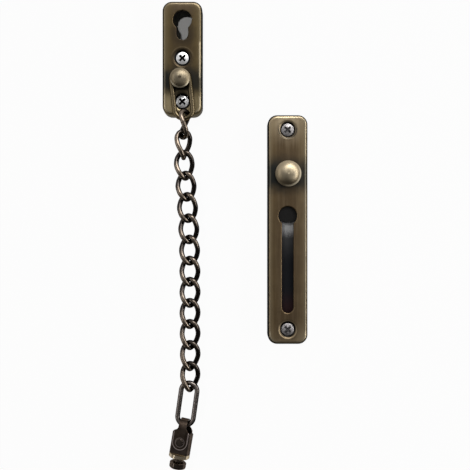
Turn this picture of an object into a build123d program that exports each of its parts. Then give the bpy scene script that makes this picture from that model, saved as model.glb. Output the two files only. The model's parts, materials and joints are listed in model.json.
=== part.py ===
from build123d import *
import os
from math import atan2, cos, degrees, radians, sin, tan

# Door chain: a short frame plate that carries the chain, a long door plate
# with a keyhole slot, and a curb chain that ends in a headed bolt.
# The pieces hang as they are installed: +Z is up, the fronts face -Y, and
# both plates stand with their back rims in the plane y = 0.
# The origin is on the wall, halfway between the frame plate's two screws.
# Millimetres.

# Stamped covers
plate_width = 22.4
plate_depth = 9.5
sheet = 1.2
plan_corner = 5.3
rolled_edge = 2.0
sheet_back = plate_depth - sheet
cut_margin = 1.0

# Frame plate, its centre, and the heights of its features above that centre
frame_length = 64.0
frame_z = 12.1
frame_screw_heights = (0.1, -24.3)
keyhole_head_radius = 5.3
keyhole_head_height = 21.5
keyhole_neck_radius = 3.25
keyhole_neck_bottom = 10.3
keyhole_lip = 0.4

# Door plate, its centre, and the heights of its features above that centre
door_length = 128.6
door_x = 59.1
door_z = -84.0
door_screw_heights = (56.0, -56.0)
slot_head_radius = 5.15
slot_head_height = 7.7
slot_radius = 3.2
slot_bottom = -46.7
slot_lip = 0.7
knob_height = 31.1

# Wood screws with oval heads and cross recesses
screw_head_radius = 3.45
screw_shank_radius = 1.75
screw_length = 25.0
screw_point = 5.0
screw_neck_radius = 1.5
screw_neck_end = 5.0
screw_hole_radius = 2.0
dish_radius = 4.7
dish_edge = 0.8
dish_back_radius = 3.4
head_edge = 0.25
head_dome = 0.6
recess_span = 4.6
recess_width = 1.3
recess_depth = 1.5
recess_taper = 12.0

# Stud that carries the chain
stud_x = -1.0
stud_z = 0.0
stud_stem_radius = 3.4
stud_tenon_radius = 2.2
stud_gap = 3.8
stud_radius = 5.6
stud_rim = 1.1
stud_dome = 2.1
stud_pip_radius = 0.9
stud_pip_depth = 0.25
rivet_flange = 0.9
button_edge = 0.3

# Release knob, leaf spring and stop pad behind the door plate's face
knob_radius = 7.2
knob_gap = 3.4
knob_rim = 1.0
knob_dome = 3.1
knob_stem_radius = 2.5
knob_hole_radius = 3.4
knob_tenon_radius = 1.5
pad_radius = 8.4
pad_height = 12.2
pad_front = 8.1
pad_thickness = 1.2
pad_edge = 0.3
spring_thickness = 0.5
spring_width = 9.0
spring_eye_radius = 4.35
spring_eye_outer = 6.0
running_gap = 0.05

# Floor plate pressed into the back of the door cover
floor_thickness = 1.0
floor_top = 16.0
floor_bottom = -50.0

# Wire of the chain
wire_radius = 1.35

# Anchor loop round the stud's stem: it leans to the right on its way down,
# and tilts forwards, so that the first link's wire passes behind its bend
loop_half_width = 5.05
loop_reach = 22.7
loop_lean = 6.9
loop_tilt = 6.0
loop_stand_off = 2.1

# Twisted curb links
link_half_width = 4.55
link_half_length = 7.3
link_end_radius = 3.5
link_twist = 90.0
link_count = 13
end_corners = 2
side_corners = 3
arc_share = 0.45

# How far each link leans to the right on its way down, in degrees
link_leans = (-3.0, 0.5, 3.5, 3.5, 3.0, 2.5, 1.0, 0.5, 0.0, 0.0, 0.5, 0.0, 0.0)

# How far each link is turned about its own length: the first links take up
# the quarter turn from the flat loop, the last ones meet the flat end link
link_turns = (90.0, 50.0, 18.0, 4.0, 0, 0, 0, 2.0, 6.0, 10.5, 15.0, 19.5, 24.0)

# Distance between the two wires that cross above each link
link_gaps = (4.0, 3.3, 3.15, 2.95, 2.8, 2.8, 2.8, 2.9, 2.9, 2.9, 2.95, 2.95, 3.0)

# Long end link
end_half_width = 4.5
end_half_length = 11.65
end_lean = -8.0
end_turn = -10.0
end_gap = 3.7

# Strap that joins the end link and the end bolt
strap_sheet = 1.0
strap_slack = 1.3
strap_neck = 4.3
strap_shoulder_top = -1.0
strap_shoulder_bottom = -3.6
pin_drop = 8.8
pin_radius = 1.3
pin_head_radius = 2.15
pin_head = 0.6
pin_head_edge = 0.35

# End bolt, measured down from the end link's lowest wire
bolt_lean = -9.5
bolt_turn = -10.0
bolt_radius = 5.75
bolt_flats = 7.6
bolt_top = 4.05
flats_bottom = 16.0
collar_bottom = 18.2
bolt_neck_radius = 2.75
bolt_head_top = 20.7
bolt_bottom = 24.2
bolt_head_radius = 4.6
bolt_edge = 0.5
bolt_head_edge = 1.2
bolt_head_rim = 0.4


def face_axis(x, z):
    """Return the axis that runs from front to back through (x, z)."""
    return Axis((x, 0, z), (0, 1, 0))


def front_plane(depth, x=0.0, z=0.0):
    """Return a plane that faces the front at the given depth off the wall."""
    return Plane(origin=(x, -depth, z), x_dir=(1, 0, 0), z_dir=(0, -1, 0))


def stamped_cover(x, z, length):
    """Return an open-backed cover with round corners and a rolled front edge."""
    with BuildPart() as cover:
        with BuildSketch(front_plane(0, x, z)):
            RectangleRounded(plate_width, length, plan_corner)
        extrude(amount=plate_depth)
        front = cover.faces().sort_by(Axis.Y)[0]
        fillet(front.edges(), rolled_edge)
        back = cover.faces().sort_by(Axis.Y)[-1]
        offset(amount=-sheet, openings=back)
    return cover.part


def screw_dish(x, z):
    """Return the solid boss that backs a dished screw hole."""
    drop = dish_radius - screw_hole_radius
    rear = plate_depth - drop - running_gap
    with BuildPart() as boss:
        with BuildSketch(Plane(origin=(x, 0, z))):
            with BuildLine():
                Polyline(
                    (0, -sheet_back - sheet / 2),
                    (dish_radius + sheet, -sheet_back - sheet / 2),
                    (dish_radius + sheet, -sheet_back),
                    (dish_back_radius, -rear + sheet / 2),
                    (0, -rear + sheet / 2),
                    close=True,
                )
            make_face()
        revolve(axis=face_axis(x, z))
    return boss.part


def dish_cutter(x, z):
    """Return the hole, the cone and the rounded mouth of a dished screw hole."""
    with BuildPart() as cutter:
        with BuildSketch(Plane(origin=(x, 0, z))):
            with BuildLine():
                mouth = dish_radius + dish_edge
                Polyline(
                    (mouth, -plate_depth),
                    (mouth, -plate_depth - cut_margin),
                    (0, -plate_depth - cut_margin),
                    (0, 0),
                    (screw_hole_radius, 0),
                    (screw_hole_radius, -plate_depth + dish_radius - screw_hole_radius),
                    (dish_radius - dish_edge, -plate_depth + dish_edge),
                )
                TangentArc(
                    (dish_radius - dish_edge, -plate_depth + dish_edge),
                    (mouth, -plate_depth),
                    tangent=(1, -1),
                )
            make_face()
        revolve(axis=face_axis(x, z))
    return cutter.part


def cap_radius(radius, height):
    """Return the radius of the sphere whose cap has this radius and height."""
    return (radius ** 2 + height ** 2) / (2 * height)


def wood_screw(x, z):
    """Return an oval-head wood screw with a cross recess, seated in its dish."""
    rim = plate_depth - dish_radius + screw_head_radius + running_gap
    under = rim - screw_head_radius + screw_neck_radius
    edge = rim + head_edge
    tip = screw_length - edge
    with BuildPart() as screw:
        with BuildSketch(Plane(origin=(x, 0, z))):
            with BuildLine():
                Polyline(
                    (0, -edge - head_dome),
                    (0, tip),
                    (screw_shank_radius, tip - screw_point),
                    (screw_shank_radius, -screw_neck_end),
                    (screw_neck_radius, -screw_neck_end),
                    (screw_neck_radius, -under),
                    (screw_head_radius, -rim),
                    (screw_head_radius, -edge),
                )
                RadiusArc(
                    (screw_head_radius, -edge),
                    (0, -edge - head_dome),
                    cap_radius(screw_head_radius, head_dome),
                )
            make_face()
        revolve(axis=face_axis(x, z))
        with BuildSketch(front_plane(edge + head_dome, x, z)):
            Rectangle(recess_span, recess_width, rotation=45)
            Rectangle(recess_span, recess_width, rotation=-45)
        extrude(amount=-recess_depth, taper=recess_taper, mode=Mode.SUBTRACT)
    return screw.part


def keyhole_cutter(x, z, head_radius, head_height, neck_radius, neck_bottom):
    """Return a keyhole: a round head with a straight slot below it."""
    neck_centre = neck_bottom + neck_radius
    with BuildPart() as cutter:
        with BuildSketch(front_plane(sheet_back - cut_margin, x, z)):
            with Locations((0, head_height)):
                Circle(head_radius)
            with Locations((0, (head_height + neck_centre) / 2)):
                Rectangle(2 * neck_radius, head_height - neck_centre)
            with Locations((0, neck_centre)):
                Circle(neck_radius)
        extrude(amount=sheet + 2 * cut_margin)
    return cutter.part


def domed_button(x, z, top, rim, dome, radius, stem_radius, stem_top):
    """Return a domed button on a round stem that reaches back to stem_top."""
    under = top - rim - dome
    with BuildPart() as button:
        with BuildSketch(Plane(origin=(x, 0, z))):
            with BuildLine():
                Polyline(
                    (0, -top),
                    (0, -stem_top),
                    (stem_radius, -stem_top),
                    (stem_radius, -under),
                    (radius - button_edge, -under),
                    (radius, -under - button_edge),
                    (radius, -under - rim),
                )
                RadiusArc(
                    (radius, -under - rim),
                    (0, -top),
                    cap_radius(radius, dome),
                )
            make_face()
        revolve(axis=face_axis(x, z))
    return button.part


# Frame plate: cover, keyhole, two dished screw holes and the stud's hole
frame_cover = stamped_cover(0, frame_z, frame_length)
frame_dishes = [screw_dish(0, frame_z + height) for height in frame_screw_heights]
frame_dish_cuts = [dish_cutter(0, frame_z + height) for height in frame_screw_heights]
frame_keyhole = keyhole_cutter(
    0,
    frame_z,
    keyhole_head_radius,
    keyhole_head_height,
    keyhole_neck_radius,
    keyhole_neck_bottom,
)

with BuildPart() as frame_plate:
    add(frame_cover)
    add(frame_dishes)
    add(frame_keyhole, mode=Mode.SUBTRACT)
    front_face = frame_plate.faces().filter_by(Axis.Y).sort_by(Axis.Y)[0]
    fillet(front_face.inner_wires().edges(), keyhole_lip)
    add(frame_dish_cuts, mode=Mode.SUBTRACT)
    with Locations(front_plane(plate_depth, stud_x, stud_z)):
        Hole(stud_tenon_radius, depth=2 * sheet)
frame_plate.part.label = "frame_plate"

# Stud: domed head, stem for the loop, and a tenon peened over behind the sheet
stud_top = plate_depth + stud_gap + stud_rim + stud_dome
stud_button = domed_button(
    stud_x, stud_z, stud_top, stud_rim, stud_dome, stud_radius, stud_stem_radius, plate_depth
)

with BuildPart() as chain_stud:
    add(stud_button)
    with BuildSketch(front_plane(plate_depth, stud_x, stud_z)):
        Circle(stud_tenon_radius)
    extrude(amount=-sheet - rivet_flange / 2)
    with BuildSketch(front_plane(sheet_back, stud_x, stud_z)):
        Circle(stud_stem_radius)
    extrude(amount=-rivet_flange)
    with Locations(front_plane(stud_top, stud_x, stud_z)):
        Hole(stud_pip_radius, depth=stud_pip_depth)
chain_stud.part.label = "chain_stud"

# Door plate: cover, keyhole slot, two dished screw holes and the knob's hole
door_cover = stamped_cover(door_x, door_z, door_length)
door_dishes = [screw_dish(door_x, door_z + height) for height in door_screw_heights]
door_dish_cuts = [dish_cutter(door_x, door_z + height) for height in door_screw_heights]
door_keyhole = keyhole_cutter(
    door_x, door_z, slot_head_radius, slot_head_height, slot_radius, slot_bottom
)

with BuildPart() as door_plate:
    add(door_cover)
    add(door_dishes)
    add(door_keyhole, mode=Mode.SUBTRACT)
    front_face = door_plate.faces().filter_by(Axis.Y).sort_by(Axis.Y)[0]
    fillet(front_face.inner_wires().edges(), slot_lip)
    add(door_dish_cuts, mode=Mode.SUBTRACT)
    with Locations(front_plane(plate_depth, door_x, door_z + knob_height)):
        Hole(knob_hole_radius, depth=2 * sheet)
door_plate.part.label = "door_plate"

# Floor plate that closes the back of the door cover behind the slot
with BuildPart() as floor_plate:
    with BuildSketch(front_plane(0, door_x, door_z + (floor_top + floor_bottom) / 2)):
        Rectangle(plate_width - 2 * sheet - 2 * running_gap, floor_top - floor_bottom)
    extrude(amount=floor_thickness)
floor_plate.part.label = "floor_plate"

# Leaf spring: an eye round the upper dish, a straight blade and a round end
spring_front = pad_front - pad_thickness
knob_z = door_z + knob_height
eye_z = door_z + door_screw_heights[0]
pad_z = door_z + pad_height

with BuildPart() as leaf_spring:
    with BuildSketch(front_plane(spring_front, door_x, 0)):
        with Locations((0, eye_z)):
            Circle(spring_eye_outer)
        with Locations((0, (eye_z + pad_z) / 2)):
            Rectangle(spring_width, eye_z - pad_z)
        with Locations((0, pad_z)):
            Circle(spring_width / 2)
        with Locations((0, eye_z)):
            Circle(spring_eye_radius, mode=Mode.SUBTRACT)
        with Locations((0, knob_z)):
            Circle(knob_tenon_radius, mode=Mode.SUBTRACT)
    extrude(amount=-spring_thickness)
leaf_spring.part.label = "leaf_spring"

# Stop pad on the spring's free end, just behind the keyhole's round head
with BuildPart() as stop_pad:
    with BuildSketch(front_plane(spring_front, door_x, pad_z)):
        Circle(pad_radius)
    extrude(amount=pad_thickness)
    fillet(stop_pad.faces().sort_by(Axis.Y)[0].edges(), pad_edge)
stop_pad.part.label = "stop_pad"

# Release knob: domed button, stem, and a tenon peened over behind the spring
knob_top = plate_depth + knob_gap + knob_rim + knob_dome
knob_button = domed_button(
    door_x, knob_z, knob_top, knob_rim, knob_dome, knob_radius, knob_stem_radius, spring_front
)

with BuildPart() as release_knob:
    add(knob_button)
    with BuildSketch(front_plane(spring_front, door_x, knob_z)):
        Circle(knob_tenon_radius)
    extrude(amount=-spring_thickness - rivet_flange / 2)
    with BuildSketch(front_plane(spring_front - spring_thickness, door_x, knob_z)):
        Circle(knob_stem_radius)
    extrude(amount=-rivet_flange)
release_knob.part.label = "release_knob"

# Four wood screws, one in each dish
frame_screw_upper = wood_screw(0, frame_z + frame_screw_heights[0])
frame_screw_upper.label = "frame_screw_upper"
frame_screw_lower = wood_screw(0, frame_z + frame_screw_heights[1])
frame_screw_lower.label = "frame_screw_lower"
door_screw_upper = wood_screw(door_x, door_z + door_screw_heights[0])
door_screw_upper.label = "door_screw_upper"
door_screw_lower = wood_screw(door_x, door_z + door_screw_heights[1])
door_screw_lower.label = "door_screw_lower"


def hanging(x, y, z, lean, turn=0.0, tilt=0.0):
    """Return the place of a piece that leans to the right on its way down,
    tilts forwards, and is turned about its own length."""
    return Location((x, y, z), (0, -lean, 0)) * Location((0, 0, 0), (-tilt, 0, turn))


def below(x, z, lean, distance):
    """Return the point a distance further down a leaning line."""
    return x + distance * sin(radians(lean)), z - distance * cos(radians(lean))


def oval_wire(half_width, half_length):
    """Return a flat link of round wire: two half circles and two straight legs."""
    straight = half_length - half_width
    with BuildPart() as oval:
        with BuildLine(Plane.XZ) as path:
            Line((half_width, -straight), (half_width, straight))
            RadiusArc((half_width, straight), (-half_width, straight), -half_width)
            Line((-half_width, straight), (-half_width, -straight))
            RadiusArc((-half_width, -straight), (half_width, -straight), -half_width)
        with BuildSketch(Plane(origin=(half_width, 0, 0))):
            Circle(wire_radius)
        sweep(path=path.wire())
    return oval.part


# Anchor loop: it hangs round the stud and lies over the lower screw
loop_half_length = (loop_reach + loop_half_width) / 2
loop_drop = (loop_reach - loop_half_length) * cos(radians(loop_tilt))
loop_x, loop_z = below(stud_x, stud_z, loop_lean, loop_drop)
loop_stud_y = -plate_depth - loop_stand_off
loop_y = loop_stud_y - (loop_reach - loop_half_length) * sin(radians(loop_tilt))
chain_y = loop_stud_y - loop_reach * sin(radians(loop_tilt))
loop_bottom = loop_reach * cos(radians(loop_tilt))
loop_bottom_x, loop_bottom_z = below(stud_x, stud_z, loop_lean, loop_bottom)
flat_loop = oval_wire(loop_half_width, loop_half_length)

with BuildPart() as anchor_loop:
    with Locations(hanging(loop_x, loop_y, loop_z, loop_lean, tilt=loop_tilt)):
        add(flat_loop)
anchor_loop.part.label = "anchor_loop"

# Centreline of half a curb link: an oval of four arcs, twisted a quarter turn,
# and made of short straight runs joined by tangent arcs
side_radius = (link_half_length - link_end_radius) ** 2
side_radius += link_half_width ** 2 - link_end_radius ** 2
side_radius /= 2 * (link_half_width - link_end_radius)
side_centre = side_radius - link_half_width
end_centre = link_half_length - link_end_radius
side_angle = degrees(atan2(end_centre, side_centre))


def twisted(x, z):
    """Return an oval's point after the twist: its half width turns with height."""
    angle = radians(-link_twist / 2 * z / link_half_length)
    return x * cos(angle), x * sin(angle), z


def end_corner(angle):
    """Return a corner just outside the oval's end arc, at an angle above its centre."""
    turned = radians(angle)
    reach = link_end_radius / cos(radians(end_span / 2))
    return reach * cos(turned), end_centre + reach * sin(turned)


def side_corner(angle):
    """Return a corner just outside the oval's side arc, at an angle above the middle."""
    turned = radians(angle)
    reach = side_radius / cos(radians(side_span / 2))
    return reach * cos(turned) - side_centre, reach * sin(turned)


def rounding_radii(points):
    """Return each corner's radius: its arc takes most of its shorter run."""
    runs = [Vector(*after) - Vector(*before) for before, after in zip(points, points[1:])]
    rooms = [2 * runs[0].length, *(run.length for run in runs[1:-1]), 2 * runs[-1].length]
    radii = []
    for number, (before, after) in enumerate(zip(runs, runs[1:])):
        half_turn = radians(before.get_angle(after) / 2)
        radii.append(arc_share * min(rooms[number], rooms[number + 1]) / tan(half_turn))
    return radii


# Corners of the half link's path, from the top of the link to its bottom. Each
# is where the tangents at the two ends of a stretch of the oval meet.
end_span = (90 - side_angle) / end_corners
side_span = 2 * side_angle / side_corners
upper_points = [end_corner(90 - end_span * (step + 0.5)) for step in range(end_corners)]
middle_points = [side_corner(side_angle - side_span * (step + 0.5)) for step in range(side_corners)]
lower_points = [(x, -z) for x, z in reversed(upper_points)]
top_point = (0, link_half_length)
bottom_point = (0, -link_half_length)
oval_points = [top_point, *upper_points, *middle_points, *lower_points, bottom_point]
half_points = [twisted(x, z) for x, z in oval_points]
half_radii = rounding_radii(half_points)
print("curb link radii", [round(radius, 2) for radius in half_radii])

with BuildPart() as curb_link:
    with BuildLine() as half_link:
        FilletPolyline(*half_points, radius=half_radii)
    with BuildSketch(Plane(origin=half_link.wire() @ 0, z_dir=half_link.wire() % 0)):
        Circle(wire_radius)
    sweep(path=half_link.wire())
    add(curb_link.part.rotate(Axis.Z, 180))

# Curb links, one below the other, each through the last one's lower bend
chain_links = []
last_x, last_z = loop_bottom_x, loop_bottom_z
for number in range(link_count):
    lean = link_leans[number]
    top_z = last_z + link_gaps[number]
    link_x, link_z = below(last_x, top_z, lean, link_half_length)
    last_x, last_z = below(link_x, link_z, lean, link_half_length)
    with BuildPart() as chain_link:
        with Locations(hanging(link_x, chain_y, link_z, lean, link_turns[number])):
            add(curb_link.part)
    chain_link.part.label = f"chain_link_{number + 1:02d}"
    chain_links.append(chain_link.part)

# End link, long and flat
end_x, end_z = below(last_x, last_z + end_gap, end_lean, end_half_length)
wire_x, wire_z = below(end_x, end_z, end_lean, end_half_length)
flat_end_link = oval_wire(end_half_width, end_half_length)

with BuildPart() as end_link:
    with Locations(hanging(end_x, chain_y, end_z, end_lean, end_turn)):
        add(flat_end_link)
end_link.part.label = "end_link"

# Planes of the strap and the bolt, from the middle of the end link's lower wire
bolt_place = Plane(hanging(wire_x, chain_y, wire_z, bolt_lean, bolt_turn))
bolt_front = Plane(bolt_place.origin, x_dir=bolt_place.x_dir, z_dir=-bolt_place.y_dir)
bolt_side = Plane(bolt_place.origin, x_dir=bolt_place.y_dir, z_dir=bolt_place.x_dir)

# Strap: a sheet strip folded over the wire, with a round tongue on each leg
fold_inside = bolt_flats / 2 + running_gap
fold_outside = fold_inside + strap_sheet
fold_centre = wire_radius + strap_slack - fold_inside
tongue_radius = (bolt_radius ** 2 - (bolt_flats / 2) ** 2) ** 0.5 - 0.1
strap_end = -pin_drop - tongue_radius

with BuildPart() as end_strap:
    with BuildSketch(bolt_side):
        with Locations((0, fold_centre)):
            Circle(fold_outside)
        with Locations((0, (fold_centre + strap_end) / 2)):
            Rectangle(2 * fold_outside, fold_centre - strap_end)
        with Locations((0, fold_centre)):
            Circle(fold_inside, mode=Mode.SUBTRACT)
        with Locations((0, (fold_centre + strap_end) / 2)):
            Rectangle(2 * fold_inside, fold_centre - strap_end, mode=Mode.SUBTRACT)
    extrude(amount=tongue_radius, both=True)
    with BuildSketch(bolt_front):
        with BuildLine():
            Polyline(
                (tongue_radius, -pin_drop),
                (tongue_radius, strap_shoulder_bottom),
                (strap_neck / 2, strap_shoulder_top),
                (strap_neck / 2, fold_outside),
                (-strap_neck / 2, fold_outside),
                (-strap_neck / 2, strap_shoulder_top),
                (-tongue_radius, strap_shoulder_bottom),
                (-tongue_radius, -pin_drop),
            )
            RadiusArc((-tongue_radius, -pin_drop), (tongue_radius, -pin_drop), -tongue_radius)
        make_face()
    extrude(amount=2 * fold_outside, both=True, mode=Mode.INTERSECT)
    with BuildSketch(bolt_front):
        with Locations((0, -pin_drop)):
            Circle(pin_radius + running_gap / 2)
    extrude(amount=2 * fold_outside, both=True, mode=Mode.SUBTRACT)
end_strap.part.label = "end_strap"

# Pin: a rivet through both tongues and the bolt, with a head at each end
with BuildPart() as strap_pin:
    with BuildSketch(bolt_front):
        with Locations((0, -pin_drop)):
            Circle(pin_radius)
    extrude(amount=fold_outside + running_gap, both=True)
    for side in (1, -1):
        with BuildSketch(bolt_front.offset(side * (fold_outside + running_gap / 2))):
            with Locations((0, -pin_drop)):
                Circle(pin_head_radius)
        extrude(amount=side * pin_head)
    ends = strap_pin.faces().sort_by(Axis(bolt_front.origin, bolt_front.z_dir))
    fillet(ends[0].edges() + ends[-1].edges(), pin_head_edge)
strap_pin.part.label = "strap_pin"

# End bolt: round body with two flats, a collar, a neck and a mushroom head
with BuildPart() as end_bolt:
    with BuildSketch(bolt_front):
        with BuildLine():
            Polyline(
                (0, -bolt_top),
                (bolt_radius - bolt_edge, -bolt_top),
                (bolt_radius, -bolt_top - bolt_edge),
                (bolt_radius, -collar_bottom + bolt_edge),
                (bolt_radius - bolt_edge, -collar_bottom),
                (bolt_neck_radius, -collar_bottom),
                (bolt_neck_radius, -bolt_head_top),
                (bolt_head_radius - bolt_head_rim, -bolt_head_top),
                (bolt_head_radius, -bolt_head_top - bolt_head_rim),
                (bolt_head_radius, -bolt_bottom + bolt_head_edge),
            )
            RadiusArc(
                (bolt_head_radius, -bolt_bottom + bolt_head_edge),
                (bolt_head_radius - bolt_head_edge, -bolt_bottom),
                bolt_head_edge,
            )
            Polyline(
                (bolt_head_radius - bolt_head_edge, -bolt_bottom),
                (0, -bolt_bottom),
                (0, -bolt_top),
            )
        make_face()
    revolve(axis=Axis(bolt_place.origin, bolt_place.z_dir))
    with BuildSketch(bolt_place.offset(-bolt_top)):
        for side in (1, -1):
            with Locations((0, side * (bolt_flats / 2 + bolt_radius))):
                Rectangle(3 * bolt_radius, 2 * bolt_radius)
    extrude(amount=-(flats_bottom - bolt_top), mode=Mode.SUBTRACT)
    with BuildSketch(bolt_front):
        with Locations((0, -pin_drop)):
            Circle(pin_radius + running_gap)
    extrude(amount=bolt_radius, both=True, mode=Mode.SUBTRACT)
end_bolt.part.label = "end_bolt"

pieces = [
    frame_plate.part,
    chain_stud.part,
    frame_screw_upper,
    frame_screw_lower,
    door_plate.part,
    floor_plate.part,
    leaf_spring.part,
    stop_pad.part,
    release_knob.part,
    door_screw_upper,
    door_screw_lower,
    anchor_loop.part,
    *chain_links,
    end_link.part,
    end_strap.part,
    strap_pin.part,
    end_bolt.part,
]

os.makedirs("parts", exist_ok=True)
for piece in pieces:
    export_step(piece, f"parts/{piece.label}.step")
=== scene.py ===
# %% [markdown]
# A door chain in antique brass, dressed in Blender.
# The solids come in as a fixed frame, in metres: +Z is up and the fronts face -Y.
# Two stamped plates stand on a white wall, and a curb chain hangs from the left
# one. This lesson gives every piece its finish, cuts the screws' threads, makes a
# thin blade for the leaf spring, and sets the wall, the lamps and the camera.

# %% Load the frame
import json
from math import pi, radians

import bmesh
import bpy
import numpy as np
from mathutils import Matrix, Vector


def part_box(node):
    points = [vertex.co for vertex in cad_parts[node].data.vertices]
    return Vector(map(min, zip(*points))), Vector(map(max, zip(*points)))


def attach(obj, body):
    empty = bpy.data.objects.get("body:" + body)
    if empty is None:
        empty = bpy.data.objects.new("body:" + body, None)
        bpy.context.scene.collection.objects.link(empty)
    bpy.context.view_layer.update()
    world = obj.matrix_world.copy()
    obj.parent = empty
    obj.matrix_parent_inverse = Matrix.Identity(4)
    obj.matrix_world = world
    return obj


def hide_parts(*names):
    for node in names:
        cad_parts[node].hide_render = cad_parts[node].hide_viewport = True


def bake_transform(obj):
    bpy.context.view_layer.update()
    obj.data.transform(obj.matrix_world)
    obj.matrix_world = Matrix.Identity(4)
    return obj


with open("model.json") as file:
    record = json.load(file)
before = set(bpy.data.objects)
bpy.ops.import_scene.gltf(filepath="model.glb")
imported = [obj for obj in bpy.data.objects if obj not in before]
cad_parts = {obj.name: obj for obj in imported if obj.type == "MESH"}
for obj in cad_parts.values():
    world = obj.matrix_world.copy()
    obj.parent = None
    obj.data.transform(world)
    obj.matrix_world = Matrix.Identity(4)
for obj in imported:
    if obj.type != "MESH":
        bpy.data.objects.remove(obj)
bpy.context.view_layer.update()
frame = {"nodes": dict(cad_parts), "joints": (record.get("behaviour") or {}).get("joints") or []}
nodes = frame["nodes"]
MM = 0.001

# %% [markdown]
# Sizes that the finishes need are read from the frame, so that a mask or a
# band stays on its piece when the solids change. The plates give their own
# boxes, and the stud and the knob give the heights of the dark bands.

# %% Places read from the frame
FORWARD = (0.0, -1.0, 0.0)
BACK = (0.0, 1.0, 0.0)
UP = (0.0, 0.0, 1.0)


def middle(node):
    """The centre of a node's box: half the sum of its two corners."""
    low, high = (np.array(corner, float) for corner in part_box(node))
    return (low + high) / 2


def span(node):
    """The size of a node's box: its high corner minus its low corner."""
    low, high = (np.array(corner, float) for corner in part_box(node))
    return high - low


FRAME_CENTRE = middle("frame_plate")
DOOR_CENTRE = middle("door_plate")
PLATE_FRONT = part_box("frame_plate")[0][1]
STUD_CENTRE = middle("chain_stud")
KNOB_CENTRE = middle("release_knob")
CHAIN_NODES = sorted(name for name in nodes if name.startswith("chain_link"))
print("plate front", PLATE_FRONT, "chain links", len(CHAIN_NODES))

# %% [markdown]
# A finish is a tree of nodes, and most of its nodes are sums, limits and mixes.
# Each of these gets a small helper that places one node and gives its output,
# so that a material reads like a list of layers. What goes into a node may be
# the output of another node, a number or a triple: one helper tells them apart.

# %% Helpers for sums and vectors
def feed(tree, value, socket):
    """Link an output to a socket, or set the socket to a number or a triple."""
    if isinstance(value, bpy.types.NodeSocket):
        tree.links.new(value, socket)
    elif socket.type == "RGBA":
        socket.default_value = (*value, 1.0)
    else:
        socket.default_value = value


def math_node(tree, operation, first, second=0.0, clamp=False):
    """Add a Math node: operation(first, second), each a number or a socket."""
    node = tree.nodes.new("ShaderNodeMath")
    node.operation = operation
    node.use_clamp = clamp
    feed(tree, first, node.inputs[0])
    feed(tree, second, node.inputs[1])
    return node.outputs[0]


def times(tree, first, second):
    """The product of two masks, or of a mask and a number."""
    return math_node(tree, "MULTIPLY", first, second)


def inverse(tree, mask):
    """One minus a mask."""
    return math_node(tree, "SUBTRACT", 1.0, mask)


def spread(tree, mask, low, high):
    """Map a mask's 0 to 1 onto a range, such as a roughness: low + mask x (high - low)."""
    return math_node(tree, "ADD", times(tree, mask, high - low), low)


def vector_node(tree, operation, first, second=None, output="Vector"):
    """Add a Vector Math node: operation(first, second), where SCALE's second
    part is a number and not a vector."""
    node = tree.nodes.new("ShaderNodeVectorMath")
    node.operation = operation
    feed(tree, first, node.inputs[0])
    if second is not None:
        feed(tree, second, node.inputs["Scale" if operation == "SCALE" else 1])
    return node.outputs[output]


def split(tree, vector):
    """Add a Separate XYZ node and give its three outputs."""
    node = tree.nodes.new("ShaderNodeSeparateXYZ")
    tree.links.new(vector, node.inputs[0])
    return node.outputs


# %% [markdown]
# A mask is a number from 0 to 1 that says where an effect shows. It comes from a
# place on the piece or from a noise, and a soft step turns either into a mask
# whose edge isn't hard.

# %% Helpers for masks
NOISE_ROUGHNESS = 0.55


def smooth_step(tree, value, low, high):
    """Add a Map Range node: 0 below low, 1 above high, an S curve between."""
    node = tree.nodes.new("ShaderNodeMapRange")
    node.interpolation_type = "SMOOTHSTEP"
    feed(tree, value, node.inputs["Value"])
    feed(tree, low, node.inputs["From Min"])
    feed(tree, high, node.inputs["From Max"])
    return node.outputs["Result"]


def band_mask(tree, value, low, high, soft):
    """1 between low and high, falling off over a soft margin on each side."""
    rise = smooth_step(tree, value, low - soft, low)
    fall = smooth_step(tree, value, high, high + soft)
    return times(tree, rise, inverse(tree, fall))


def noise(tree, vector, scale, detail):
    """Add a Noise Texture and give its value, which varies round one half."""
    node = tree.nodes.new("ShaderNodeTexNoise")
    feed(tree, vector, node.inputs["Vector"])
    feed(tree, scale, node.inputs["Scale"])
    feed(tree, detail, node.inputs["Detail"])
    feed(tree, NOISE_ROUGHNESS, node.inputs["Roughness"])
    return node.outputs["Fac"]


def stretched(tree, vector, scale):
    """Scale a vector unevenly, which draws a noise out along one direction."""
    node = tree.nodes.new("ShaderNodeMapping")
    feed(tree, vector, node.inputs["Vector"])
    feed(tree, scale, node.inputs["Scale"])
    return node.outputs["Vector"]


# %% [markdown]
# Colours are laid over each other by masks, as coats of paint are. A coat's
# share says how much it hides of what lies below it, where its mask is 1. A Mix
# node has sockets for numbers, vectors and colours in one list, so the places
# of the ones that mix colours are named here.

# %% Helpers for colours and shaders
MIX_INPUTS = (0, 6, 7)
MIX_OUTPUT = 2


def mix_colour(tree, factor, first, second):
    """Mix two colours, each a triple or a socket, by a factor."""
    node = tree.nodes.new("ShaderNodeMix")
    node.data_type = "RGBA"
    for place, value in zip(MIX_INPUTS, (factor, first, second)):
        feed(tree, value, node.inputs[place])
    return node.outputs[MIX_OUTPUT]


def layer(tree, base, mask, share, colour):
    """Lay a colour over the base by a mask, as thick as the share where it is 1."""
    return mix_colour(tree, spread(tree, mask, 0.0, share), base, colour)


def mix_shaders(tree, factor, first, second):
    """Mix two shaders: 0 shows the first, and 1 the second."""
    node = tree.nodes.new("ShaderNodeMixShader")
    for place, socket in enumerate((factor, first, second)):
        tree.links.new(socket, node.inputs[place])
    return node.outputs[0]


# %% [markdown]
# An effect that many finishes share, such as brushed grain, is a node group, so
# that it is written once and used in each material with its own values. A
# group puts out masks and heights only: the shader stays in the material.

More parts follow.
